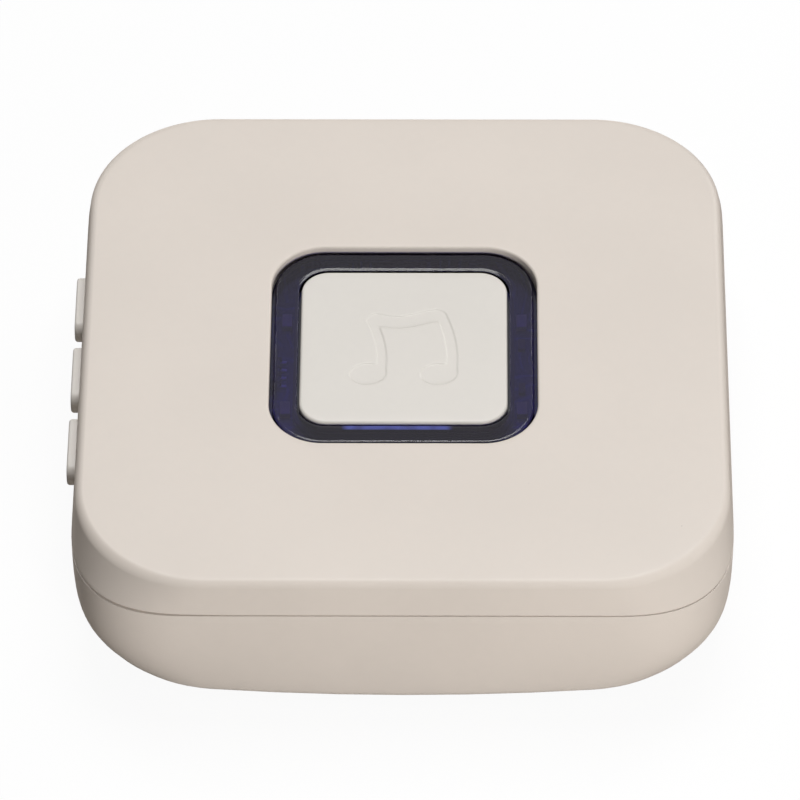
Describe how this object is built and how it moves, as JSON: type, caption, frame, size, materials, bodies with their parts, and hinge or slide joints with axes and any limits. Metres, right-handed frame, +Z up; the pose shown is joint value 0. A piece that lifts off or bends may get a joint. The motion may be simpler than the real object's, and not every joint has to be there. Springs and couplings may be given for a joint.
{
  "type": "caregiver call button",
  "caption": "Rounded-square table call unit with a pressable square key in a dark see-through light ring, side keys, speaker slots and a battery door underneath.",
  "frame": {"origin": "middle of the body's outline, on the plane the feet stand on", "axes": "+Z up out of the top face, -Y is the front, -X is the wall with the side keys"},
  "size_m": [0.077, 0.076, 0.0203],
  "materials": {
    "shell_ivory": "satin",
    "key_white": "satin",
    "lens_smoke": "gloss",
    "stem_white": "matte",
    "black_resin": "matte",
    "board_blue": "satin",
    "board_green": "satin",
    "lamp_resin": "gloss",
    "passive_ceramic": "matte",
    "tinned_metal": "satin",
    "plain_steel": "satin",
    "wire_brass": "satin",
    "wire_red": "satin",
    "capacitor_sleeve": "gloss",
    "magnet_grey": "satin",
    "cone_film": "matte",
    "foam_black": "matte",
    "cell_sleeve": "satin",
    "foot_rubber": "matte"
  },
  "bodies": {
    "case": {"top_cover": "shell_ivory", "bottom_case": "shell_ivory", "light_ring": "lens_smoke", "call_switch": "tinned_metal", "side_switches": "black_resin", "circuit_board": "board_blue", "ring_leds": "lamp_resin", "board_passives": "passive_ceramic", "memory_chip": "black_resin", "controller_chip": "black_resin", "radio_module": "board_green", "radio_crystal": "tinned_metal", "antenna_wire": "wire_brass", "capacitor": "capacitor_sleeve", "speaker_frame": "plain_steel", "speaker_magnet": "magnet_grey", "speaker_cone": "cone_film", "speaker_gasket": "foam_black", "speaker_wires": "wire_red", "battery_cells": "cell_sleeve", "positive_contact": "tinned_metal", "negative_contact": "tinned_metal", "bridge_contact": "tinned_metal", "case_screws": "plain_steel", "board_screws": "plain_steel", "rubber_feet": "foot_rubber"},
    "call_key": {"call_button": "key_white", "call_switch_stem": "black_resin"},
    "volume_up_key": {"volume_up_button": "key_white", "volume_up_stem": "stem_white"},
    "melody_key": {"melody_button": "key_white", "melody_stem": "stem_white"},
    "volume_down_key": {"volume_down_button": "key_white", "volume_down_stem": "stem_white"},
    "door": {"battery_door": "shell_ivory"}
  },
  "joints": [
    {"name": "call_press", "type": "slide", "parent": "case", "child": "call_key", "axis": [0, 0, -1], "range_m": [0, 0.0003], "stiffness_N_per_m": 4000},
    {"name": "volume_up_press", "type": "slide", "parent": "case", "child": "volume_up_key", "axis": [1, 0, 0], "range_m": [0, 0.0003], "stiffness_N_per_m": 4000},
    {"name": "melody_press", "type": "slide", "parent": "case", "child": "melody_key", "axis": [1, 0, 0], "range_m": [0, 0.0003], "stiffness_N_per_m": 4000},
    {"name": "volume_down_press", "type": "slide", "parent": "case", "child": "volume_down_key", "axis": [1, 0, 0], "range_m": [0, 0.0003], "stiffness_N_per_m": 4000},
    {"name": "door_tilt", "type": "hinge", "parent": "case", "child": "door", "pos_m": [0.0207, 0.02635, 0.0006], "axis": [1, 0, 0], "range_deg": [0, 70]}
  ]
}
